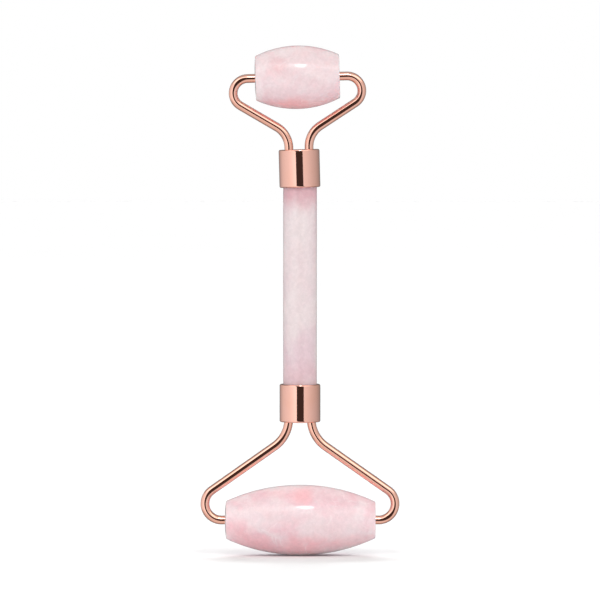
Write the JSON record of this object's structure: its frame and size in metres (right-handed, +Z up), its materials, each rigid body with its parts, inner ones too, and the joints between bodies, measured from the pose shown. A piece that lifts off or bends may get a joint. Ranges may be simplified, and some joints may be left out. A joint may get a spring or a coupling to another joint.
{
  "type": "face roller",
  "caption": "Double-ended face roller: barrel stones turning in bent rose-gold wire forks, ferruled to a slim polished stone handle.",
  "frame": {"origin": "middle of the line where the large roller touches the surface it is stood on, under the handle's axis", "axes": "+Z up the handle from the large roller to the small one, +X along the large roller's axis, -Y towards the viewer"},
  "size_m": [0.0566, 0.02, 0.145],
  "materials": {
    "rose_quartz": "polished",
    "rose_gold_wire": "polished",
    "rose_gold_ferrule": "polished",
    "bush_nylon": "satin",
    "clear_epoxy": "gloss"
  },
  "bodies": {
    "frame": {"handle_rod": "rose_quartz", "large_fork_ferrule": "rose_gold_ferrule", "large_fork_epoxy": "clear_epoxy", "large_fork_left_arm": "rose_gold_wire", "large_fork_right_arm": "rose_gold_wire", "small_fork_ferrule": "rose_gold_ferrule", "small_fork_epoxy": "clear_epoxy", "small_fork_left_arm": "rose_gold_wire", "small_fork_right_arm": "rose_gold_wire"},
    "large_roller": {"large_roller_stone": "rose_quartz", "large_roller_left_bush": "bush_nylon", "large_roller_right_bush": "bush_nylon"},
    "small_roller": {"small_roller_stone": "rose_quartz", "small_roller_left_bush": "bush_nylon", "small_roller_right_bush": "bush_nylon"}
  },
  "joints": [
    {"name": "large_roller_spin", "type": "hinge", "parent": "frame", "child": "large_roller", "pos_m": [0, 0, 0.01004], "axis": [1, 0, 0], "continuous": true},
    {"name": "small_roller_spin", "type": "hinge", "parent": "frame", "child": "small_roller", "pos_m": [-0.00082, 0, 0.13596], "axis": [0.9997, 0, 0.0262], "continuous": true}
  ]
}
